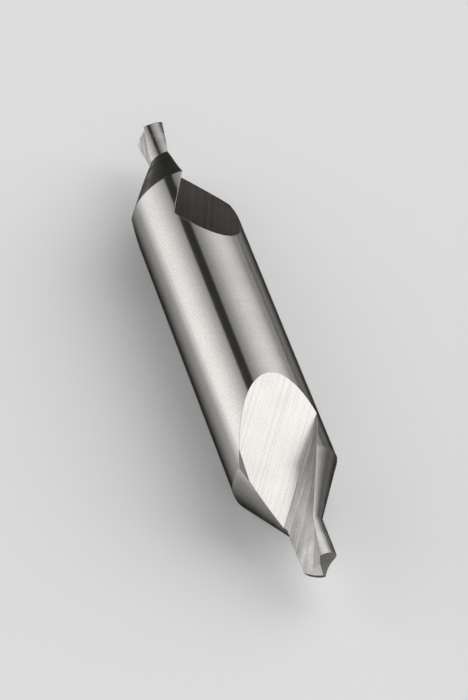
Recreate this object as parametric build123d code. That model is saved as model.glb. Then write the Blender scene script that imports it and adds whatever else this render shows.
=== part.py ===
from build123d import *
import os
from math import cos, radians, sin, sqrt, tan

os.makedirs("parts", exist_ok=True)

# A double-ended centre drill, ground from one bar of tool steel. It drills a pilot hole and
# its 60 degree countersink in one plunge, and turns end for end when the first end is worn.
#
# Part frame, mm: the origin is the middle of the body on its axis, and the axis lies along X.
# +Z is up as the drill lies on its side. Each end is modelled in a drill frame whose z runs
# along the axis towards the tip and whose x is the axis of the half turn that swaps the ends.
# An azimuth is measured from that x about the drill's z, and grows in the cutting direction.

# Body
body_diameter = 10.0
overall_length = 56.0
lie_turn = -19.4  # turn of the half-turn axis away from +Z, as the drill lies

# Pilot and countersink
pilot_diameter = 3.7
pilot_reach = 5.0  # from the tip back to the small end of the cone
cone_angle = 60.0
pilot_relief = 0.135  # each land of the pilot is ground about an axis this far off centre
cone_relief = 0.365  # and its stretch of the cone about one this far off
relief_azimuth = 50.0  # direction of both offsets, across the open flute

# Point
point_angle = 118.0
lip_ahead = 0.45  # each cutting lip runs this far ahead of the axis
lip_azimuth = 10.5
lip_clearance = 8.0
flank_radius = 5.0  # the flank behind a lip is part of a cylinder that lies along it
notch_radius = 2.28  # a round notch in each flute thins the web at the tip
notch_web = 0.25  # left between the two notches
notch_azimuth = 37.3  # the way a notch runs out into its flute
notch_dive = 44.4  # and its fall away from the tip
notch_roll = 33.1  # turn of the notch's opening about that run

# Flutes
web_thickness = 1.24
flute_radius = 3.16
flute_lead = 63.4  # advance of the flute in one whole turn
flute_datum = 22.0  # distance from the middle where the flute's azimuth is given
flute_azimuth = 53.0

# Chip flats, which open each flute out over the cone and the body
plain_length = 17.1  # body left whole between the flats of the two ends
flat_slope = 22.2
flat_azimuth = 8.3
edge_cross = 18.95  # distance from the middle where the flat's straight edge crosses it
edge_angle = 28.2  # between that edge and the flat's line of steepest fall
corner_angle = 30.0  # rise of the narrow strip that the wheel's corner leaves along the edge

# Relief of the flat's heel
heel_inset = 0.8  # the relief begins this far in from the side of the body
heel_cross = 16.2
heel_angle = 6.0
heel_dip = 8.0

body_radius = body_diameter / 2
half_length = overall_length / 2
reach = 2 * body_diameter  # cutters stand this far past the steel
upward = (Align.CENTER, Align.CENTER, Align.MIN)


def polar(azimuth, radius, height=0.0):
    """Point of the drill frame at an azimuth, a radius and a height."""
    return Vector(radius * cos(radians(azimuth)), radius * sin(radians(azimuth)), height)


def nose_half():
    """Cone and pilot of one land, each about its own offset axis, on that land's side."""
    slope = tan(radians(cone_angle / 2))
    small_end = half_length - pilot_reach
    apex = small_end + (pilot_diameter / 2 - cone_relief) / slope
    cone = Cone(apex * slope, 0, apex, align=upward)
    pilot = Cylinder(pilot_diameter / 2 - pilot_relief, half_length, align=upward)
    nose = Pos(polar(relief_azimuth, cone_relief)) * cone
    nose += Pos(polar(relief_azimuth, pilot_relief)) * pilot
    side = Box(4 * reach, reach, 4 * reach, align=(Align.CENTER, Align.MAX, Align.CENTER))
    return nose & Rot(0, 0, relief_azimuth) * side


def blank():
    """Half of the bar, turned to its nose, with the two lands relieved."""
    half = nose_half()
    nose = half + Rot(0, 0, 180) * half
    return Cylinder(body_radius, half_length, align=upward) & nose


def flank_cutter():
    """What the grinding of one flank takes off the point."""
    half_point = radians(point_angle / 2)
    along_lip = Vector(0, 0, cos(half_point)) - polar(lip_azimuth, sin(half_point))
    behind = polar(lip_azimuth - 90, 1)
    outward = along_lip.cross(behind)
    centre_behind = -lip_ahead - flank_radius * sin(radians(lip_clearance))
    depth = sqrt(flank_radius**2 - centre_behind**2)
    centre = Vector(0, 0, half_length) + behind * centre_behind - outward * depth
    lip_frame = Plane(origin=centre, x_dir=behind, z_dir=along_lip)
    roll = Cylinder(flank_radius, 4 * pilot_diameter)
    stock = Box(2 * pilot_diameter, flank_radius, 4 * pilot_diameter)
    return lip_frame.location * (Pos(0, flank_radius, 0) * stock - roll)


def notch_cutter():
    """The round notch that thins the web at the tip, on the side of one flute."""
    dive = radians(notch_dive)
    roll = radians(notch_roll)
    run = polar(notch_azimuth, cos(dive), -sin(dive))
    lift = polar(notch_azimuth, sin(dive), cos(dive))
    opening = polar(notch_azimuth + 90, cos(roll)) + lift * sin(roll)
    tip = Vector(0, 0, half_length)
    centre = tip + opening * (notch_radius + notch_web / 2)
    notch_frame = Plane(origin=centre, x_dir=opening, z_dir=run)
    return notch_frame.location * Cylinder(notch_radius, 4 * pilot_diameter)


def flute_groove():
    """The twisted round groove of one flute, cut past the tip."""
    start = plain_length / 2
    height = half_length + pilot_diameter - start
    off_axis = web_thickness / 2 + flute_radius
    path = Helix(flute_lead, height, off_axis, center=(0, 0, start))
    section = Plane(origin=(off_axis, 0, start)) * Circle(flute_radius)
    turn = flute_azimuth + (start - flute_datum) * 360 / flute_lead
    return Rot(0, 0, turn) * sweep(section, path, is_frenet=True)


def flat_frame(height, aside, turn, dip):
    """Frame on one flat: z outwards, x along the fall of the flat and towards the tip.

    Its origin lies at a height, and aside of the flat's middle on the heel's side. The frame
    is turned on the flat towards the heel, and then dips about its own x on that side.
    """
    slope = radians(flat_slope)
    normal = polar(flat_azimuth, cos(slope), sin(slope))
    fall = polar(flat_azimuth, -sin(slope), cos(slope))
    crest = body_radius + plain_length / 2 * tan(slope)
    origin = polar(flat_azimuth, crest - height * tan(slope), height)
    origin += polar(flat_azimuth + 90, aside)
    flat = Plane(origin=origin, x_dir=fall, z_dir=normal)
    return flat.location * Rot(0, 0, -turn) * Rot(dip, 0, 0)


def flute_cutter():
    """One whole flute: the groove down to the flat, and all that stands over the flat."""
    edge = flat_frame(edge_cross, 0, edge_angle, 0)
    above = Box(4 * reach, 2 * reach, reach, align=upward)
    over_strip = Box(4 * reach, 4 * reach, 2 * reach, align=upward)
    over_heel = Box(4 * reach, reach, reach, align=(Align.CENTER, Align.MAX, Align.MIN))
    over_pilot = Pos(0, 0, half_length - pilot_reach) * Cylinder(reach, reach, align=upward)
    open_side = edge * (above & Rot(corner_angle, 0, 0) * over_strip)
    groove = flute_groove() & (open_side + over_pilot)
    heel = flat_frame(heel_cross, body_radius - heel_inset, -heel_angle, heel_dip)
    return groove + edge * over_heel + heel * over_heel


def end():
    """One end of the drill, from the middle of the body to the tip."""
    steel = blank()
    for turn in (0, 180):
        for cutter in (flute_cutter(), flank_cutter(), notch_cutter()):
            steel -= Rot(0, 0, turn) * cutter
    return steel


def centre_drill():
    """Both ends, which a half turn swaps, laid along X."""
    near = end()
    far = Rot(180, 0, 0) * near
    lying = Plane(origin=(0, 0, 0), x_dir=(0, 0, 1), z_dir=(1, 0, 0))
    return lying.location * (Rot(0, 0, lie_turn) * (near + far))


drill = centre_drill()
export_step(drill, "parts/centre_drill.step")
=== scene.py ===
"""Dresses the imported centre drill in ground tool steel, lying on a pale floor."""

import logging
from dataclasses import dataclass, field
from enum import Enum
from math import cos, radians, sin, sqrt, tan

import bmesh
import bpy
import numpy as np
from mathutils import Matrix, Vector


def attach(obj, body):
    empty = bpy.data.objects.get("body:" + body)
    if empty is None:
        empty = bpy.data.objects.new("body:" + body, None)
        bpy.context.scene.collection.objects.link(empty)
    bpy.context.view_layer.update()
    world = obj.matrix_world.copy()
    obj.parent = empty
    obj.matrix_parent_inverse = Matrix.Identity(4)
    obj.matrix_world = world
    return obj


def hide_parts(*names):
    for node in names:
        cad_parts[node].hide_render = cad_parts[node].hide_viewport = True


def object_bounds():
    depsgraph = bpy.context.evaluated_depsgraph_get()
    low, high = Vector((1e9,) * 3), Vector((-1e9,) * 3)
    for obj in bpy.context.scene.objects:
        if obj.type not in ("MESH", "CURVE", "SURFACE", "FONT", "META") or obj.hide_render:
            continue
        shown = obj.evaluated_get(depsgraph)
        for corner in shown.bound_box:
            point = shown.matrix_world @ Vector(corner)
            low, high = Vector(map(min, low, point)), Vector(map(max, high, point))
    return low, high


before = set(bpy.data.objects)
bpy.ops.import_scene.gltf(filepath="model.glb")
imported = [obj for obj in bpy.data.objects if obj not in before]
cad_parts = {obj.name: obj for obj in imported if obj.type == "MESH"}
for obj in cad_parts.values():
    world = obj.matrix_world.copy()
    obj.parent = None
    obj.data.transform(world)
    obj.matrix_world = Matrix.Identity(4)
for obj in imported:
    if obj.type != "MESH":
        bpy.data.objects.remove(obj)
PACKED_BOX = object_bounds()
FLOOR_HEIGHT = PACKED_BOX[0][2]

MM = 0.001
NODE = "centre_drill"
PIECE = "ground_drill"
BODY = "root"
GRAIN = "grain"

Pair = tuple[float, float]
Span = tuple[float, float]
Triple = tuple[float, float, float]
Socket = bpy.types.NodeSocket

log = logging.getLogger(NODE)


class Grind(Enum):
    """The kinds of ground surface on the drill, each with its own wheel marks."""

    BODY = "ground_body"
    CONE = "relieved_cone"
    PILOT = "relieved_pilot"
    FLAT = "ground_flat"
    STRIP = "corner_strip"
    HEEL = "flat_heel"
    FLUTE = "ground_flute"
    FLANK = "point_flank"
    NOTCH = "point_notch"


def polar(azimuth: float, radius: float, height: float = 0.0) -> np.ndarray:
    """Point of the drill frame.

    Args:
        azimuth: degrees about the drill's axis, from the axis of the half turn.
        radius: distance from the drill's axis, mm.
        height: distance from the middle of the drill, mm.

    Returns:
        The point's three coordinates.
    """
    angle = radians(azimuth)
    return np.array([radius * cos(angle), radius * sin(angle), height])


def spin(degrees: float) -> np.ndarray:
    """The 3 by 3 turn about the drill's axis."""
    return np.array(Matrix.Rotation(radians(degrees), 3, "Z"))


def grey(value: float) -> tuple[float, float, float, float]:
    """The opaque grey of one value."""
    return (value, value, value, 1.0)


def leant(degrees: float) -> Triple:
    """The direction that leans away from straight up, towards -Y."""
    return (0.0, -sin(radians(degrees)), cos(radians(degrees)))


@dataclass(frozen=True)
class DrillSizes:
    """Sizes of the drill, in mm and degrees, with the names that its source gives them."""

    body_diameter: float = 10.0
    overall_length: float = 56.0
    lie_turn: float = -19.4
    pilot_diameter: float = 3.7
    pilot_reach: float = 5.0
    cone_angle: float = 60.0
    pilot_relief: float = 0.135
    cone_relief: float = 0.365
    relief_azimuth: float = 50.0
    point_angle: float = 118.0
    lip_ahead: float = 0.45
    lip_azimuth: float = 10.5
    lip_clearance: float = 8.0
    flank_radius: float = 5.0
    notch_radius: float = 2.28
    notch_web: float = 0.25
    notch_azimuth: float = 37.3
    notch_dive: float = 44.4
    notch_roll: float = 33.1
    web_thickness: float = 1.24
    flute_radius: float = 3.16
    flute_lead: float = 63.4
    flute_datum: float = 22.0
    flute_azimuth: float = 53.0
    plain_length: float = 17.1
    flat_slope: float = 22.2
    flat_azimuth: float = 8.3
    edge_cross: float = 18.95
    edge_angle: float = 28.2
    corner_angle: float = 30.0
    heel_inset: float = 0.8
    heel_cross: float = 16.2
    heel_angle: float = 6.0
    heel_dip: float = 8.0

    @property
    def half_length(self) -> float:
        """Distance from the middle to a tip."""
        return self.overall_length / 2

    @property
    def axis(self) -> np.ndarray:
        """Direction of the drill's axis, towards the near tip."""
        return polar(0, 0, 1)

    @property
    def tip(self) -> np.ndarray:
        """Where the axis meets the near tip."""
        return polar(0, 0, self.half_length)


class Surface:
    """One ground surface of the drill, in its own end's drill frame, mm."""

    grind: Grind

    def gap(self, points: np.ndarray) -> np.ndarray:
        """Distance of each point from the surface."""
        raise NotImplementedError

    def normal(self, points: np.ndarray) -> np.ndarray:
        """Unit normal of the surface at each point."""
        raise NotImplementedError

    def grain(self, points: np.ndarray) -> np.ndarray:
        """Place of each point along and across the wheel marks, mm."""
        raise NotImplementedError


@dataclass
class Flat(Surface):
    """A plane that a wheel's face has left."""

    grind: Grind
    origin: np.ndarray
    along: np.ndarray
    outward: np.ndarray

    def gap(self, points: np.ndarray) -> np.ndarray:
        """Distance of each point from the plane."""
        return (points - self.origin) @ self.outward

    def normal(self, points: np.ndarray) -> np.ndarray:
        """The plane's normal, once for each point."""
        return np.broadcast_to(self.outward, points.shape)

    def grain(self, points: np.ndarray) -> np.ndarray:
        """Places points along and across the plane's marks.

        Args:
            points: points of the drill frame.

        Returns:
            Two places for each point, mm.
        """
        across = np.cross(self.outward, self.along)
        offset = points - self.origin
        return np.stack([offset @ self.along, offset @ across], -1)


@dataclass
class Round(Surface):
    """A stretch of a cylinder, such as the body, a pilot land, a flank or a notch.

    An axis counts as upright where the sine of its lean is under the upright limit.
    """

    grind: Grind
    centre: np.ndarray
    axis: np.ndarray
    radius: float
    marks_run_round: bool = True
    upright_limit: float = 0.1
    start: np.ndarray = field(init=False)

    def __post_init__(self) -> None:
        """Makes the axis a unit vector, and picks where the place around it starts."""
        self.axis = self.axis / np.linalg.norm(self.axis)
        seam = np.cross(self.axis, polar(0, 0, 1))
        if np.linalg.norm(seam) < self.upright_limit:
            seam = polar(-90, 1)
        self.start = -seam / np.linalg.norm(seam)

    def radial(self, points: np.ndarray) -> np.ndarray:
        """Vector from the axis to each point."""
        offset = points - self.centre
        return offset - (offset @ self.axis)[..., None] * self.axis

    def gap(self, points: np.ndarray) -> np.ndarray:
        """Distance of each point from the cylinder."""
        return np.linalg.norm(self.radial(points), axis=-1) - self.radius

    def normal(self, points: np.ndarray) -> np.ndarray:
        """Direction from the axis to each point."""
        radial = self.radial(points)
        return radial / np.linalg.norm(radial, axis=-1, keepdims=True)

    def grain(self, points: np.ndarray) -> np.ndarray:
        """Places points around and along the cylinder.

        Args:
            points: points of the drill frame.

        Returns:
            Two places for each point, mm, first the one that the marks follow.
        """
        radial = self.radial(points)
        side = np.cross(self.axis, self.start)
        around = np.arctan2(radial @ side, radial @ self.start) * self.radius
        lengthways = (points - self.centre) @ self.axis
        pair = (around, lengthways) if self.marks_run_round else (lengthways, around)
        return np.stack(pair, -1)


@dataclass
class Taper(Surface):
    """The countersink cone of one land, about its own offset axis."""

    grind: Grind
    centre: np.ndarray
    apex: float
    half_angle: float

    def gap(self, points: np.ndarray) -> np.ndarray:
        """Measures how far points lie from the cone.

        Args:
            points: points of the drill frame.

        Returns:
            The distance of each, mm.
        """
        half = radians(self.half_angle)
        offset = points - self.centre
        reach = np.hypot(offset[..., 0], offset[..., 1])
        return (reach - (self.apex - points[..., 2]) * tan(half)) * cos(half)

    def normal(self, points: np.ndarray) -> np.ndarray:
        """Finds the cone's outward direction.

        Args:
            points: points of the drill frame.

        Returns:
            The unit normal at each.
        """
        half = radians(self.half_angle)
        radial = (points - self.centre) * [1, 1, 0]
        radial /= np.linalg.norm(radial, axis=-1, keepdims=True)
        return radial * cos(half) + polar(0, 0, sin(half))

    def grain(self, points: np.ndarray) -> np.ndarray:
        """Places points around the cone and up its slant.

        Args:
            points: points of the drill frame.

        Returns:
            Two places for each point, mm.
        """
        offset = points - self.centre
        reach = np.hypot(offset[..., 0], offset[..., 1])
        around = np.arctan2(offset[..., 1], offset[..., 0]) * reach
        return np.stack([around, points[..., 2] / cos(radians(self.half_angle))], -1)


@dataclass
class Groove(Surface):
    """The twisted round wall of a flute, whose marks cross it at an angle.

    Its step is the nudge, in mm, by which its normal is measured.
    """

    grind: Grind
    sizes: DrillSizes
    mark_angle: float = -36.0
    step: float = 1e-4

    def offset(self, points: np.ndarray) -> np.ndarray:
        """Measures from the middle of the groove, in the section across the drill's axis.

        Args:
            points: points of the drill frame.

        Returns:
            The vector to each from the middle at its own height.
        """
        sizes = self.sizes
        twist = (points[..., 2] - sizes.flute_datum) * 360 / sizes.flute_lead
        angle = np.radians(sizes.flute_azimuth + twist)
        reach = sizes.web_thickness / 2 + sizes.flute_radius
        centre = np.stack([reach * np.cos(angle), reach * np.sin(angle)], -1)
        return points[..., :2] - centre

    def gap(self, points: np.ndarray) -> np.ndarray:
        """Distance of each point from the wall, in the section across the axis."""
        return self.sizes.flute_radius - np.linalg.norm(self.offset(points), axis=-1)

    def normal(self, points: np.ndarray) -> np.ndarray:
        """Finds the direction in which the gap grows fastest.

        Args:
            points: points of the drill frame.

        Returns:
            The unit normal at each.
        """
        slopes = []
        for nudge in np.eye(3) * self.step:
            slopes.append(self.gap(points + nudge) - self.gap(points - nudge))
        slope = np.stack(slopes, -1)
        return slope / np.linalg.norm(slope, axis=-1, keepdims=True)

    def grain(self, points: np.ndarray) -> np.ndarray:
        """Places points along and across the marks, on the unrolled wall of the flute.

        Args:
            points: points of the drill frame.

        Returns:
            Two places for each point, mm.
        """
        offset = self.offset(points)
        twist = points[..., 2] * 2 * np.pi / self.sizes.flute_lead
        around = np.arctan2(offset[..., 1], offset[..., 0]) - twist
        around = (around + 2 * np.pi) % (2 * np.pi) * self.sizes.flute_radius
        turn = radians(self.mark_angle)
        along = points[..., 2] * cos(turn) + around * sin(turn)
        across = around * cos(turn) - points[..., 2] * sin(turn)
        return np.stack([along, across], -1)


@dataclass(frozen=True)
class Station:
    """One ground surface at its end and side of the drill.

    Its turn leads from its drill frame to the part frame. Where it is at one end, it takes no
    face that lies beyond the middle of the drill.
    """

    surface: Surface
    turn: np.ndarray
    at_one_end: bool = True

    def to_drill(self, vectors: np.ndarray) -> np.ndarray:
        """Turns vectors of the part frame to the surface's drill frame."""
        return vectors @ self.turn

    def to_part(self, vectors: np.ndarray) -> np.ndarray:
        """Turns vectors of the surface's drill frame to the part frame."""
        return vectors @ self.turn.T


@dataclass
class DrillSurfaces:
    """Every ground surface of the drill, by end and by side."""

    sizes: DrillSizes = field(default_factory=DrillSizes)

    def body(self) -> Round:
        """The ground cylinder of the body."""
        sizes = self.sizes
        return Round(Grind.BODY, polar(0, 0), sizes.axis, sizes.body_diameter / 2)

    def flat(
        self, height: float, aside: float, turn: float, dip: float, grind: Grind = Grind.FLAT
    ) -> Flat:
        """Lays a plane on or beside one chip flat.

        Args:
            height: distance of its origin from the middle of the drill, mm.
            aside: distance of its origin from the flat's middle, towards the heel, mm.
            turn: turn of its marks from the flat's fall, towards the heel, degrees.
            dip: dip of the plane about its marks, on the heel's side, degrees.
            grind: the kind of marks that it carries.

        Returns:
            The plane.
        """
        sizes = self.sizes
        slope = radians(sizes.flat_slope)
        outward = polar(sizes.flat_azimuth, cos(slope), sin(slope))
        fall = polar(sizes.flat_azimuth, -sin(slope), cos(slope))
        across = polar(sizes.flat_azimuth + 90, 1)
        crest = sizes.body_diameter / 2 + sizes.plain_length / 2 * tan(slope)
        origin = polar(sizes.flat_azimuth, crest - height * tan(slope), height)
        along = fall * cos(radians(turn)) + across * sin(radians(turn))
        leaning = np.cross(outward, along)
        tilted = outward * cos(radians(dip)) - leaning * sin(radians(dip))
        return Flat(grind, origin + across * aside, along, tilted)

    def flank(self) -> Round:
        """Finds the clearance behind one cutting lip.

        Returns:
            The cylinder that lies along the lip.
        """
        sizes = self.sizes
        half_point = radians(sizes.point_angle / 2)
        along = sizes.axis * cos(half_point) - polar(sizes.lip_azimuth, sin(half_point))
        behind = polar(sizes.lip_azimuth - 90, 1)
        outward = np.cross(along, behind)
        rise = sizes.flank_radius * sin(radians(sizes.lip_clearance))
        aside = -sizes.lip_ahead - rise
        depth = sqrt(sizes.flank_radius**2 - aside**2)
        centre = sizes.tip + behind * aside - outward * depth
        return Round(Grind.FLANK, centre, along, sizes.flank_radius)

    def notch(self) -> Round:
        """Finds the round notch that thins the web on the side of one flute.

        Returns:
            The notch's cylinder, whose marks run along it.
        """
        sizes = self.sizes
        dive = radians(sizes.notch_dive)
        roll = radians(sizes.notch_roll)
        run = polar(sizes.notch_azimuth, cos(dive), -sin(dive))
        lift = polar(sizes.notch_azimuth, sin(dive), cos(dive))
        opening = polar(sizes.notch_azimuth + 90, cos(roll)) + lift * sin(roll)
        centre = sizes.tip + opening * (sizes.notch_radius + sizes.notch_web / 2)
        return Round(Grind.NOTCH, centre, run, sizes.notch_radius, marks_run_round=False)

    def one_side(self) -> list[Surface]:
        """Gathers the surfaces of one land and its flute, in the near end's drill frame.

        Returns:
            The cone, the pilot, the flat, its strip and heel, the groove and the point.
        """
        sizes = self.sizes
        half_cone = sizes.cone_angle / 2
        small_radius = sizes.pilot_diameter / 2 - sizes.cone_relief
        small_end = sizes.half_length - sizes.pilot_reach
        apex = small_end + small_radius / tan(radians(half_cone))
        cone_centre = polar(sizes.relief_azimuth, sizes.cone_relief)
        pilot_centre = polar(sizes.relief_azimuth, sizes.pilot_relief)
        pilot_radius = sizes.pilot_diameter / 2 - sizes.pilot_relief
        heel_aside = sizes.body_diameter / 2 - sizes.heel_inset
        return [
            Taper(Grind.CONE, cone_centre, apex, half_cone),
            Round(Grind.PILOT, pilot_centre, sizes.axis, pilot_radius),
            self.flat(sizes.edge_cross, 0, sizes.edge_angle, 0),
            self.flat(sizes.edge_cross, 0, sizes.edge_angle, sizes.corner_angle, Grind.STRIP),
            self.flat(
                sizes.heel_cross, heel_aside, -sizes.heel_angle, sizes.heel_dip, Grind.HEEL
            ),
            Groove(Grind.FLUTE, sizes),
            self.flank(),
            self.notch(),
        ]

    def stations(self) -> list[Station]:
        """Puts every surface in its place.

        Returns:
            The body, then both sides of the near end and both sides of the far end.
        """
        lying = np.array([[0, 0, 1], [0, -1, 0], [1, 0, 0]], float)
        lying = lying @ spin(self.sizes.lie_turn)
        swap = np.diag([1.0, -1.0, -1.0])
        stations = [Station(self.body(), lying, at_one_end=False)]
        for end in (np.eye(3), swap):
            for side in (0, 180):
                turn = lying @ end @ spin(side)
                stations += [Station(surface, turn) for surface in self.one_side()]
        return stations


@dataclass(frozen=True)
class Wiring:
    """Adds nodes to the tree of one material or of the world."""

    tree: bpy.types.NodeTree

    def add(self, kind: str) -> bpy.types.Node:
        """Adds a node of one kind."""
        return self.tree.nodes.new(kind)

    def lead(self, source: Socket, target: Socket) -> None:
        """Leads the value of one socket into another."""
        self.tree.links.new(source, target)

    def math(
        self, operation: str, first: Socket, second: Socket | float | None = None
    ) -> Socket:
        """Adds one step of arithmetic.

        Args:
            operation: the name of the Math node's operation.
            first: its first value.
            second: its second value, where it has one.

        Returns:
            The result.
        """
        step = self.add("ShaderNodeMath")
        step.operation = operation
        self.lead(first, step.inputs[0])
        if isinstance(second, float):
            step.inputs[1].default_value = second
        elif second is not None:
            self.lead(second, step.inputs[1])
        return step.outputs[0]

    def vector(
        self, operation: str, first: Socket, second: Socket | Triple | None = None
    ) -> bpy.types.Node:
        """Adds one step of vector arithmetic.

        Args:
            operation: the name of the Vector Math node's operation.
            first: its first vector.
            second: its second vector, where it has one.

        Returns:
            The node, with a Vector and a Value to read.
        """
        step = self.add("ShaderNodeVectorMath")
        step.operation = operation
        self.lead(first, step.inputs[0])
        if isinstance(second, tuple):
            step.inputs[1].default_value = second
        elif second is not None:
            self.lead(second, step.inputs[1])
        return step

    def spread(self, value: Socket, span: Span, ends: Span, smooth: bool = False) -> Socket:
        """Spreads a span of a value over a range, and holds it at the ends.

        Args:
            value: the value, such as a noise.
            span: the part of the value that is spread.
            ends: what the span's two ends become.
            smooth: whether it eases out of one end and into the other.

        Returns:
            The spread value.
        """
        step = self.add("ShaderNodeMapRange")
        step.interpolation_type = "SMOOTHSTEP" if smooth else "LINEAR"
        for name, number in zip(("From Min", "From Max", "To Min", "To Max"), (*span, *ends)):
            step.inputs[name].default_value = number
        self.lead(value, step.inputs["Value"])
        return step.outputs["Result"]


@dataclass(frozen=True)
class GroundSteel:
    """Tool steel as one wheel leaves it: fine marks and grit that follow the grain map.

    Lengths are in mm. A shade is the share by which its pattern lightens or darkens the steel,
    and uneven is how far the bands change its roughness. The anisotropy's turn, a share of a
    whole turn, suits marks that run along the first axis of the grain map. The edge tint is the
    grey of the steel under a grazing look, a painted shade on outlines and slanting faces. A
    broken edge is rounded by edge_round and counts in full where the rounded normal agrees by
    edge_turn or less with the face's own: edge_painted_highlight is the painted highlight that
    it then adds to the colour, and edge_dull the roughness that it adds. Scores lie where their
    noise is within score_width of score_level, and every other pattern takes its whole range
    from the middle span of its noise.
    """

    name: str
    colour: Triple = (0.45, 0.436, 0.42)
    roughness: float = 0.3
    uneven: float = 0.04
    anisotropy: float = 0.6
    anisotropy_turn: float = 0.25
    # Grey of the Specular Tint: a painted shade that darkens the steel at grazing angles.
    edge_tint: float = 0.02
    edge_round: float = 0.06
    edge_samples: int = 8
    edge_turn: float = 0.92
    edge_painted_highlight: float = 0.3
    edge_dull: float = 0.3
    mark_length: float = 8.0
    mark_width: float = 0.1
    mark_shade: float = 0.04
    mark_depth: float = 0.0015
    band_width: float = 0.8
    band_shade: float = 0.04
    patch_size: float = 3.0
    patch_shade: float = 0.02
    grit_size: float = 0.14
    grit_shade: float = 0.08
    grit_depth: float = 0.0006
    score_gap: float = 0.6
    score_shade: float = 0.04
    score_level: float = 0.6
    score_width: float = 0.008
    score_detail: float = 0.0
    fine_detail: float = 2.0
    broad_detail: float = 1.0
    noise_middle: Span = (0.3, 0.7)

    @property
    def band_length(self) -> float:
        """Length of the bands and the scores, twice that of the marks."""
        return self.mark_length * 2

    def material(self) -> bpy.types.Material:
        """Builds the steel's material.

        Returns:
            A material whose marks read the piece's grain map.
        """
        material = bpy.data.materials.new(self.name)
        material.use_nodes = True
        wiring = Wiring(material.node_tree)
        shader = material.node_tree.nodes["Principled BSDF"]
        shader.inputs["Metallic"].default_value = 1.0
        # A dark Specular Tint: painted shade on outlines and slanting faces.
        shader.inputs["Specular Tint"].default_value = grey(self.edge_tint)
        shader.inputs["Anisotropic"].default_value = self.anisotropy
        shader.inputs["Anisotropic Rotation"].default_value = self.anisotropy_turn
        tangent = wiring.add("ShaderNodeTangent")
        tangent.direction_type = "UV_MAP"
        tangent.uv_map = GRAIN
        wiring.lead(tangent.outputs["Tangent"], shader.inputs["Tangent"])
        marks = self.noise(wiring, self.mark_length, self.mark_width, self.fine_detail)
        bands = self.noise(wiring, self.band_length, self.band_width, self.broad_detail)
        patches = self.noise(wiring, self.patch_size, self.patch_size, self.broad_detail)
        grit = self.noise(wiring, self.grit_size, self.grit_size, self.fine_detail)
        shades = [
            (marks, self.mark_shade),
            (bands, self.band_shade),
            (patches, self.patch_shade),
            (grit, self.grit_shade),
        ]
        rounded, agreement = self.edges(wiring)
        self.shade(wiring, shader, shades, agreement)
        self.dull(wiring, shader, bands, agreement)
        self.relief(wiring, shader, [(marks, self.mark_depth), (grit, self.grit_depth)], rounded)
        return material

    def noise(self, wiring: Wiring, length: float, width: float, detail: float) -> Socket:
        """Draws noise out along the wheel marks.

        Args:
            wiring: the material's nodes.
            length: length of one mark, mm.
            width: width of one mark, mm.
            detail: octaves of the noise.

        Returns:
            The noise's output, about 0 to 1.
        """
        place = wiring.add("ShaderNodeUVMap")
        place.uv_map = GRAIN
        stretch = wiring.add("ShaderNodeMapping")
        stretch.inputs["Scale"].default_value = (1 / length, 1 / width, 1)
        texture = wiring.add("ShaderNodeTexNoise")
        texture.inputs["Scale"].default_value = 1.0
        texture.inputs["Detail"].default_value = detail
        wiring.lead(place.outputs["UV"], stretch.inputs["Vector"])
        wiring.lead(stretch.outputs["Vector"], texture.inputs["Vector"])
        return texture.outputs["Fac"]

    def edges(self, wiring: Wiring) -> tuple[Socket, Socket]:
        """Finds the sharp edges, which the wheels leave broken.

        Args:
            wiring: the material's nodes.

        Returns:
            The normal over the rounded edges, and how far it agrees with the face's own.
        """
        bevel = wiring.add("ShaderNodeBevel")
        bevel.samples = self.edge_samples
        bevel.inputs["Radius"].default_value = self.edge_round * MM
        rounded = bevel.outputs["Normal"]
        face = wiring.add("ShaderNodeNewGeometry").outputs["Normal"]
        return rounded, wiring.vector("DOT_PRODUCT", rounded, face).outputs["Value"]

    def shade(
        self,
        wiring: Wiring,
        shader: bpy.types.Node,
        patterns: list[tuple[Socket, float]],
        agreement: Socket,
    ) -> None:
        """Lets the scores, the painted edge highlight and the patterns lighten and darken the
        steel.

        Args:
            wiring: the material's nodes.
            shader: the steel's shader.
            patterns: each noise with its shade.
            agreement: how far the rounded normal agrees with the face's own.
        """
        # Painted highlight: the colour is lightened along the edges, where the rounded normal
        # turns.
        painted_edge_light = wiring.spread(agreement, (self.edge_turn, 1), (1 + self.edge_painted_highlight, 1))
        light = wiring.math("MULTIPLY", self.scores(wiring), painted_edge_light)
        for pattern, share in patterns:
            factor = wiring.spread(pattern, self.noise_middle, (1 - share, 1 + share))
            light = wiring.math("MULTIPLY", light, factor)
        colour = wiring.add("ShaderNodeVectorMath")
        colour.operation = "SCALE"
        colour.inputs[0].default_value = self.colour
        wiring.lead(light, colour.inputs["Scale"])
        wiring.lead(colour.outputs["Vector"], shader.inputs["Base Color"])

    def scores(self, wiring: Wiring) -> Socket:
        """Draws sparse, thin, deeper scores among the marks, along one level of a smooth noise.

        Args:
            wiring: the material's nodes.

        Returns:
            The share of the light that they leave.
        """
        pattern = self.noise(wiring, self.band_length, self.score_gap, self.score_detail)
        on_line = wiring.math("COMPARE", pattern, self.score_level)
        on_line.node.inputs[2].default_value = self.score_width
        return wiring.spread(on_line, (0, 1), (1, 1 - self.score_shade))

    def dull(
        self, wiring: Wiring, shader: bpy.types.Node, pattern: Socket, agreement: Socket
    ) -> None:
        """Lets a pattern vary the steel's roughness, and roughens the edges.

        Args:
            wiring: the material's nodes.
            shader: the steel's shader.
            pattern: the noise.
            agreement: how far the rounded normal agrees with the face's own.
        """
        span = (self.roughness - self.uneven, self.roughness + self.uneven)
        face = wiring.spread(pattern, self.noise_middle, span)
        edge = wiring.spread(agreement, (self.edge_turn, 1), (self.edge_dull, 0))
        wiring.lead(wiring.math("ADD", face, edge), shader.inputs["Roughness"])

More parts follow.
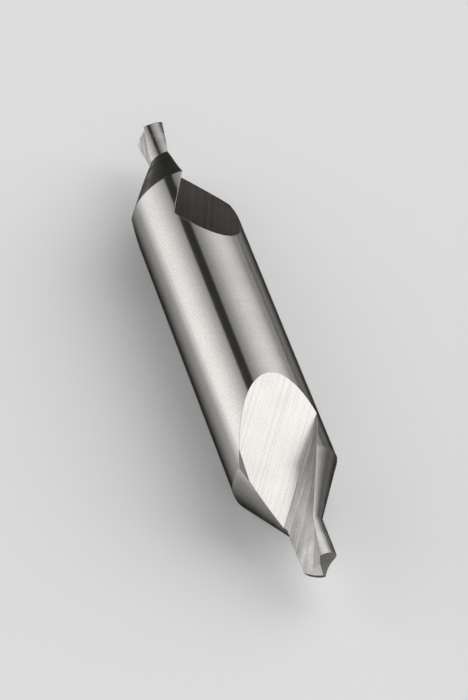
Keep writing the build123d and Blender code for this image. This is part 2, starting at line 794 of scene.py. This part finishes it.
    def relief(
        self,
        wiring: Wiring,
        shader: bpy.types.Node,
        patterns: list[tuple[Socket, float]],
        normal: Socket,
    ) -> None:
        """Gives patterns their depth.

        Args:
            wiring: the material's nodes.
            shader: the steel's shader.
            patterns: each pattern with its depth, mm.
            normal: the normal over the rounded edges.
        """
        for pattern, depth in patterns:
            bump = wiring.add("ShaderNodeBump")
            bump.inputs["Strength"].default_value = 1.0
            bump.inputs["Distance"].default_value = depth * MM
            wiring.lead(pattern, bump.inputs["Height"])
            wiring.lead(normal, bump.inputs["Normal"])
            normal = bump.outputs["Normal"]
        wiring.lead(normal, shader.inputs["Normal"])


# The colours were fitted to the photograph's tones under the studio's light. Against the
# body, the one steel is painted darker on the cone, pilot, flat, flank and most of all the
# heel, and lighter on the strip, flute and notch: painted shade and painted light for how
# each surface is lit.
FINISHES = {
    Grind.BODY: GroundSteel(
        Grind.BODY.value,
        roughness=0.18,
        uneven=0.01,
        anisotropy=0.9,
        edge_tint=0.06,
        edge_painted_highlight=0.0,
        mark_length=12.0,
        mark_shade=0.01,
        mark_depth=0.0002,
        band_width=2.0,
        band_shade=0.015,
        grit_size=0.22,
        grit_shade=0.055,
        score_shade=0.02,
    ),
    Grind.CONE: GroundSteel(
        Grind.CONE.value,
        # Painted shade: darker than the body.
        colour=(0.3, 0.291, 0.28),
        roughness=0.33,
        anisotropy=0.45,
        mark_length=3.0,
        mark_shade=0.06,
        grit_size=0.17,
        grit_shade=0.12,
    ),
    Grind.PILOT: GroundSteel(
        Grind.PILOT.value,
        # Painted shade: darker than the body.
        colour=(0.4, 0.388, 0.373),
        roughness=0.24,
        anisotropy=0.75,
        mark_length=3.0,
        mark_shade=0.03,
        grit_size=0.17,
        grit_shade=0.07,
    ),
    Grind.FLAT: GroundSteel(
        Grind.FLAT.value,
        # Painted shade: darker than the body.
        colour=(0.383, 0.371, 0.358),
        roughness=0.27,
        uneven=0.02,
        # Painted highlight along the flat's rims, which doubles their colour.
        edge_painted_highlight=1.0,
        edge_dull=0.0,
        mark_length=40.0,
        mark_width=0.16,
        mark_shade=0.05,
        mark_depth=0.001,
        band_width=0.5,
        band_shade=0.07,
        patch_shade=0.04,
        score_gap=0.9,
        score_shade=0.25,
    ),
    Grind.STRIP: GroundSteel(
        Grind.STRIP.value,
        # Painted light: lighter than the body.
        colour=(0.62, 0.601, 0.579),
        roughness=0.55,
        anisotropy=0.4,
        mark_length=40.0,
        mark_width=0.15,
        mark_shade=0.4,
        mark_depth=0.008,
        score_gap=0.3,
        score_shade=0.3,
    ),
    Grind.HEEL: GroundSteel(
        Grind.HEEL.value,
        # Painted shade: the darkest of all.
        colour=(0.19, 0.184, 0.178),
        roughness=0.35,
        mark_length=20.0,
        mark_shade=0.1,
    ),
    Grind.FLUTE: GroundSteel(
        Grind.FLUTE.value,
        # Painted light: lighter than the body.
        colour=(0.62, 0.601, 0.579),
        roughness=0.6,
        anisotropy=0.3,
        mark_length=5.0,
        mark_shade=0.15,
        band_width=0.6,
        band_shade=0.2,
        patch_size=1.8,
        patch_shade=0.12,
        grit_size=0.18,
        grit_shade=0.12,
        score_shade=0.15,
    ),
    Grind.FLANK: GroundSteel(
        Grind.FLANK.value,
        # Painted shade: darker than the body.
        colour=(0.33, 0.319, 0.308),
        roughness=0.33,
        mark_length=3.0,
    ),
    Grind.NOTCH: GroundSteel(
        Grind.NOTCH.value,
        # Painted light: the lightest of all.
        colour=(0.75, 0.727, 0.701),
        roughness=0.6,
        anisotropy=0.2,
        mark_length=3.0,
    ),
}


@dataclass
class Drill:
    """The dressed drill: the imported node's own shape with its ground finishes.

    Its loose corners are joined where they lie within the weld, in mm. A face belongs to the
    surface that it fits best, and takes that surface's own normals and grain. In the fit, a gap
    of gap_unit, in mm, counts as much as a lean of lean_unit, in degrees.
    """

    surfaces: DrillSurfaces = field(default_factory=DrillSurfaces)
    weld: float = 1e-3
    gap_unit: float = 0.01
    lean_unit: float = 4.0

    def build(self) -> bpy.types.Object:
        """Builds the piece and puts it in the node's place.

        Returns:
            The dressed drill.
        """
        piece = self.copy_node()
        self.dress(piece.data)
        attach(piece, BODY)
        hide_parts(NODE)
        return piece

    def copy_node(self) -> bpy.types.Object:
        """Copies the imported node's mesh and welds its loose triangles.

        Returns:
            The new piece, with no material yet.
        """
        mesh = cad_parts[NODE].data.copy()
        mesh.name = PIECE
        mesh.materials.clear()
        shape = bmesh.new()
        shape.from_mesh(mesh)
        bmesh.ops.remove_doubles(shape, verts=shape.verts, dist=self.weld * MM)
        bmesh.ops.dissolve_degenerate(shape, edges=shape.edges, dist=self.weld * MM)
        bmesh.ops.triangulate(shape, faces=shape.faces)
        shape.to_mesh(mesh)
        shape.free()
        piece = bpy.data.objects.new(PIECE, mesh)
        bpy.context.scene.collection.objects.link(piece)
        return piece

    def dress(self, mesh: bpy.types.Mesh) -> None:
        """Finds the ground surface that each face lies on, and finishes it to suit.

        Args:
            mesh: the welded mesh of the drill, all triangles.
        """
        corners, outward = self.triangles(mesh)
        best = np.full(len(corners), np.inf)
        normals = np.zeros_like(corners)
        grain = np.zeros((*corners.shape[:2], 2))
        slots = np.zeros(len(corners), int)
        kinds = list(Grind)
        for station in self.surfaces.stations():
            surface = station.surface
            local = station.to_drill(corners)
            cost, normal = self.fit(station, local, station.to_drill(outward))
            better = cost < best
            best[better] = cost[better]
            normals[better] = station.to_part(normal[better])
            grain[better] = surface.grain(local[better])
            slots[better] = kinds.index(surface.grind)
        for kind in kinds:
            mesh.materials.append(FINISHES[kind].material())
        mesh.polygons.foreach_set("material_index", slots)
        mesh.polygons.foreach_set("use_smooth", np.ones(len(corners), bool))
        mesh.uv_layers.new(name=GRAIN).uv.foreach_set("vector", grain.ravel())
        mesh.normals_split_custom_set(normals.reshape(-1, 3).tolist())
        log.info("faces by grind: %s", dict(zip([k.value for k in kinds], np.bincount(slots))))

    def triangles(self, mesh: bpy.types.Mesh) -> tuple[np.ndarray, np.ndarray]:
        """Reads the mesh's triangles.

        Args:
            mesh: the drill's mesh, all triangles.

        Returns:
            Each triangle's corners in mm, and its unit normal.
        """
        places = np.empty(len(mesh.vertices) * 3)
        mesh.vertices.foreach_get("co", places)
        order = np.empty(len(mesh.loops), int)
        mesh.loops.foreach_get("vertex_index", order)
        corners = places.reshape(-1, 3)[order].reshape(-1, 3, 3) / MM
        outward = np.cross(corners[:, 1] - corners[:, 0], corners[:, 2] - corners[:, 0])
        outward /= np.linalg.norm(outward, axis=1, keepdims=True)
        return corners, outward

    def fit(
        self, station: Station, corners: np.ndarray, outward: np.ndarray
    ) -> tuple[np.ndarray, np.ndarray]:
        """Weighs how badly faces fit one surface.

        Args:
            station: the surface at its end and side.
            corners: each face's corners, in the surface's drill frame.
            outward: each face's normal, in the same frame.

        Returns:
            The cost of each face, and the surface's normals at its corners, turned outwards.
        """
        normal = station.surface.normal(corners)
        match = np.einsum("fci,fi->fc", normal, outward)
        cost = np.abs(station.surface.gap(corners)).max(1) / self.gap_unit
        cost += np.degrees(np.arccos(np.abs(match).min(1).clip(0, 1))) / self.lean_unit
        if station.at_one_end:
            cost[corners[..., 2].mean(1) < 0] = np.inf
        return cost, normal * np.sign(match)[..., None]


class Sky:
    """The direction in which the world is seen, with its parts."""

    def __init__(self, wiring: Wiring) -> None:
        """Reads the direction and takes it apart.

        Args:
            wiring: the world's nodes.
        """
        self.wiring = wiring
        self.towards = wiring.add("ShaderNodeTexCoord").outputs["Generated"]
        parts = wiring.add("ShaderNodeSeparateXYZ")
        wiring.lead(self.towards, parts.inputs[0])
        self.along = parts.outputs["X"]
        self.up = parts.outputs["Z"]
        across = wiring.vector("MULTIPLY", self.towards, (0, 1, 1)).outputs["Vector"]
        self.around = wiring.vector("NORMALIZE", across).outputs["Vector"]

    def facing(self, direction: Socket, aim: Triple) -> Socket:
        """The cosine between a direction and an aim."""
        return self.wiring.vector("DOT_PRODUCT", direction, aim).outputs["Value"]

    def lobe(self, direction: Socket, aim: Triple, tightness: float) -> Socket:
        """A soft glow, full at its aim and gone at a right angle to it."""
        facing = self.wiring.math("MAXIMUM", self.facing(direction, aim), 0.0)
        return self.wiring.math("POWER", facing, tightness)

    def rise(self, part: Socket, span: Span, light: Span) -> Socket:
        """A smooth change of the light over a span of the direction's part."""
        return self.wiring.spread(part, span, light, smooth=True)


@dataclass(frozen=True)
class Panel:
    """A long soft panel that hangs level with the drill's axis.

    Its lean is its middle's angle from straight up, towards -Y, and its low light is the share
    that is left of it at the horizon. Along the drill, towards +X, it rises over its fade span
    and then falls to its end light over its end span. Those spans are of the looked-at
    direction's X, and the low span is of its Z.
    """

    lean: float
    strength: float
    tightness: float
    low_light: float
    fade_span: Span
    fade_light: Span
    end_light: float = 1.0
    end_span: Span = (-0.47, -0.3)
    low_span: Span = (0.0, 0.25)

    def glow(self, sky: Sky) -> Socket:
        """Works out the panel's light.

        Args:
            sky: the direction in which the world is seen.

        Returns:
            The light from there.
        """
        low = (self.low_light * self.strength, self.strength)
        glow = sky.lobe(sky.around, leant(self.lean), self.tightness)
        shares = (
            sky.rise(sky.up, self.low_span, low),
            sky.rise(sky.along, self.fade_span, self.fade_light),
            sky.rise(sky.along, self.end_span, (1, self.end_light)),
        )
        for share in shares:
            glow = sky.wiring.math("MULTIPLY", glow, share)
        return glow


@dataclass(frozen=True)
class Gap:
    """The dark gap between the panels, which shows as a line along the body.

    Its lean is its angle from straight up, towards -Y. It widens towards +X, over its reach of
    the looked-at direction's X. Its width to each side and the blur of its rims are sines of
    angles, and its light is the share that it leaves of the panels and the fill.
    """

    lean: float = 11.4
    reach: Span = (-0.42, 0.8)
    width: Span = (0.134, 1.0)
    blur: float = 0.012
    light: float = 0.12

    def share(self, sky: Sky) -> Socket:
        """Works out what the gap leaves of the light.

        Args:
            sky: the direction in which the world is seen.

        Returns:
            The share that is left there.
        """
        beside = sky.wiring.math("ABSOLUTE", sky.facing(sky.towards, leant(self.lean + 90)))
        width = sky.rise(sky.along, self.reach, self.width)
        outside = sky.wiring.math("SUBTRACT", beside, width)
        return sky.rise(outside, (-self.blur, self.blur), (self.light, 1))


@dataclass(frozen=True)
class FrontLight:
    """A soft round light from about the camera's side, which keeps the floor pale."""

    aim: Triple = (0.798, -0.2, 0.569)
    tightness: float = 6.0
    strength: float = 1.2

    def glow(self, sky: Sky) -> Socket:
        """The light from the direction in which the world is seen."""
        soft = sky.lobe(sky.towards, self.aim, self.tightness)
        return sky.wiring.math("MULTIPLY", soft, self.strength)


@dataclass(frozen=True)
class MattGrey:
    """A plain matt grey that may glow, with a smooth change of the glow from foot to top."""

    name: str
    shade: float
    roughness: float = 1.0
    gloss: float = 0.0
    glow: Span | None = None
    glow_height: float = 0.0

    def material(self) -> bpy.types.Material:
        """Builds the grey's material.

        Returns:
            The material, which reads its piece's own height where it glows.
        """
        material = bpy.data.materials.new(self.name)
        material.use_nodes = True
        shader = material.node_tree.nodes["Principled BSDF"]
        shader.inputs["Base Color"].default_value = grey(self.shade)
        shader.inputs["Roughness"].default_value = self.roughness
        shader.inputs["Specular IOR Level"].default_value = self.gloss
        if self.glow:
            self.light_up(Wiring(material.node_tree), shader)
        return material

    def light_up(self, wiring: Wiring, shader: bpy.types.Node) -> None:
        """Lets the grey glow.

        Args:
            wiring: the material's nodes.
            shader: the grey's shader.
        """
        place = wiring.add("ShaderNodeTexCoord").outputs["Object"]
        parts = wiring.add("ShaderNodeSeparateXYZ")
        wiring.lead(place, parts.inputs[0])
        span = (FLOOR_HEIGHT, FLOOR_HEIGHT + self.glow_height)
        glow = wiring.spread(parts.outputs["Z"], span, self.glow, smooth=True)
        shader.inputs["Emission Color"].default_value = grey(1.0)
        wiring.lead(glow, shader.inputs["Emission Strength"])


def stage_sheet(finish: MattGrey, place: Matrix) -> bpy.types.Object:
    """Makes a flat sheet.

    Args:
        finish: its matt grey, whose name it takes.
        place: what brings a square that reaches 1 m each way to the sheet's size and place.

    Returns:
        The sheet.
    """
    shape = bmesh.new()
    bmesh.ops.create_grid(shape, x_segments=1, y_segments=1, size=1.0)
    bmesh.ops.transform(shape, matrix=place, verts=shape.verts)
    mesh = bpy.data.meshes.new(finish.name)
    shape.to_mesh(mesh)
    shape.free()
    mesh.materials.append(finish.material())
    sheet = bpy.data.objects.new(finish.name, mesh)
    bpy.context.scene.collection.objects.link(sheet)
    return sheet


@dataclass(frozen=True)
class Floor:
    """The pale floor under the drill. Its reach is how far it goes each way, m."""

    reach: float = 3.0
    finish: MattGrey = MattGrey("floor", 0.76)

    def build(self) -> bpy.types.Object:
        """Lays the floor at the drill's lowest point."""
        reach = Matrix.Diagonal((self.reach, self.reach, 1, 1))
        return stage_sheet(self.finish, Matrix.Translation((0, 0, FLOOR_HEIGHT)) @ reach)


@dataclass(frozen=True)
class Card:
    """An upright card or soft lamp on the floor, just outside the photograph's frame.

    Its foot is the middle of its lower edge, and its run is the direction of that edge, in
    metres. Its shade is its plain grey. Where it has a glow, that is the light that it gives
    off itself, at its foot and at its top. The camera doesn't see it, so that it doesn't stand
    in the way of other views.
    """

    name: str
    foot: Pair
    run: Pair
    half_length: float
    height: float
    shade: float = 0.02
    glow: Span | None = None

    def build(self) -> bpy.types.Object:
        """Stands the card where only reflections can show it.

        Returns:
            The card.
        """
        run = Vector((*self.run, 0)).normalized() * self.half_length
        rise = Vector((0, 0, self.height / 2))
        middle = Vector((*self.foot, FLOOR_HEIGHT)) + rise
        upright = Matrix((run, rise, run.cross(rise).normalized())).transposed().to_4x4()
        finish = MattGrey(self.name, self.shade, glow=self.glow, glow_height=self.height)
        sheet = stage_sheet(finish, Matrix.Translation(middle) @ upright)
        sheet.visible_camera = False
        sheet.visible_diffuse = False
        sheet.visible_shadow = False
        return sheet


@dataclass(frozen=True)
class PhotoCamera:
    """The camera, where the photograph was taken from, as the drill's outlines in it tell."""

    place: Triple = (0.165316, -0.051207, 0.219710)
    right: Triple = (0.2976, 0.9546, 0.0)
    forward: Triple = (-0.5877, 0.1832, -0.7880)
    focal_length: float = 153.04
    clip: Span = (0.005, 20.0)

    def build(self) -> None:
        """Sets up the camera and makes it the scene's own."""
        data = bpy.data.cameras.new("camera")
        data.lens = self.focal_length
        data.clip_start, data.clip_end = self.clip
        right = Vector(self.right).normalized()
        forward = Vector(self.forward).normalized()
        turn = Matrix((right, right.cross(forward), -forward)).transposed().to_4x4()
        camera = bpy.data.objects.new("camera", data)
        camera.matrix_world = Matrix.Translation(self.place) @ turn
        bpy.context.scene.collection.objects.link(camera)
        bpy.context.scene.camera = camera


@dataclass(frozen=True)
class Studio:
    """The floor, the soft light, the cards beside the drill and the camera.

    The fill is the light that comes from everywhere.
    """

    floor: Floor = Floor()
    cards: tuple[Card, ...] = (
        Card("far_card", (-0.054, 0.003), (0.2976, 0.9554), 0.035, 0.022),
        Card("near_card", (0.048, 0.024), (0.72, -0.69), 0.020, 0.012),
        Card(
            "side_card",
            (0.0015, 0.0248),
            (0.939, -0.343),
            0.043,
            0.0055,
            shade=0.12,
            glow=(0.16, 0.2),
        ),
        Card("low_lamp", (-0.0134, -0.0218), (0.968, -0.251), 0.034, 0.009, glow=(0.65, 1.5)),
        Card("tip_lamp", (0.020, -0.0295), (0.968, -0.251), 0.010, 0.006, glow=(1.2, 2.4)),
    )
    fill: float = 0.045
    panels: tuple[Panel, ...] = (
        Panel(78.0, 1.17, 2.1, 0.9, (-0.85, -0.42), (0.63, 2.2), end_light=0.3),
        Panel(-48.0, 0.82, 3.3, 0.7, (-0.85, -0.08), (0.63, 3.7)),
    )
    gap: Gap = Gap()
    front: FrontLight = FrontLight()
    camera: PhotoCamera = PhotoCamera()

    def build(self) -> list[bpy.types.Object]:
        """Sets up the whole studio.

        Returns:
            The floor and the cards.
        """
        self.light()
        self.camera.build()
        return [self.floor.build(), *[card.build() for card in self.cards]]

    def light(self) -> None:
        """Fills the studio with soft light: the panels, the gap between and the front light."""
        world = bpy.data.worlds.new("studio")
        world.use_nodes = True
        bpy.context.scene.world = world
        wiring = Wiring(world.node_tree)
        sky = Sky(wiring)
        light = self.fill
        for panel in self.panels:
            light = wiring.math("ADD", panel.glow(sky), light)
        light = wiring.math("MULTIPLY", light, self.gap.share(sky))
        light = wiring.math("ADD", light, self.front.glow(sky))
        background = world.node_tree.nodes["Background"]
        background.inputs["Color"].default_value = grey(1.0)
        wiring.lead(light, background.inputs["Strength"])


def main() -> None:
    """Builds the drill and its studio."""
    logging.basicConfig(level=logging.INFO, format="%(name)s: %(message)s")
    bpy.context.scene.view_settings.view_transform = "Standard"
    piece = Drill().build()
    log.info("%s: %d faces", piece.name, len(piece.data.polygons))
    for sheet in Studio().build():
        log.info("%s: stage", sheet.name)


if __name__ == "__main__":
    main()
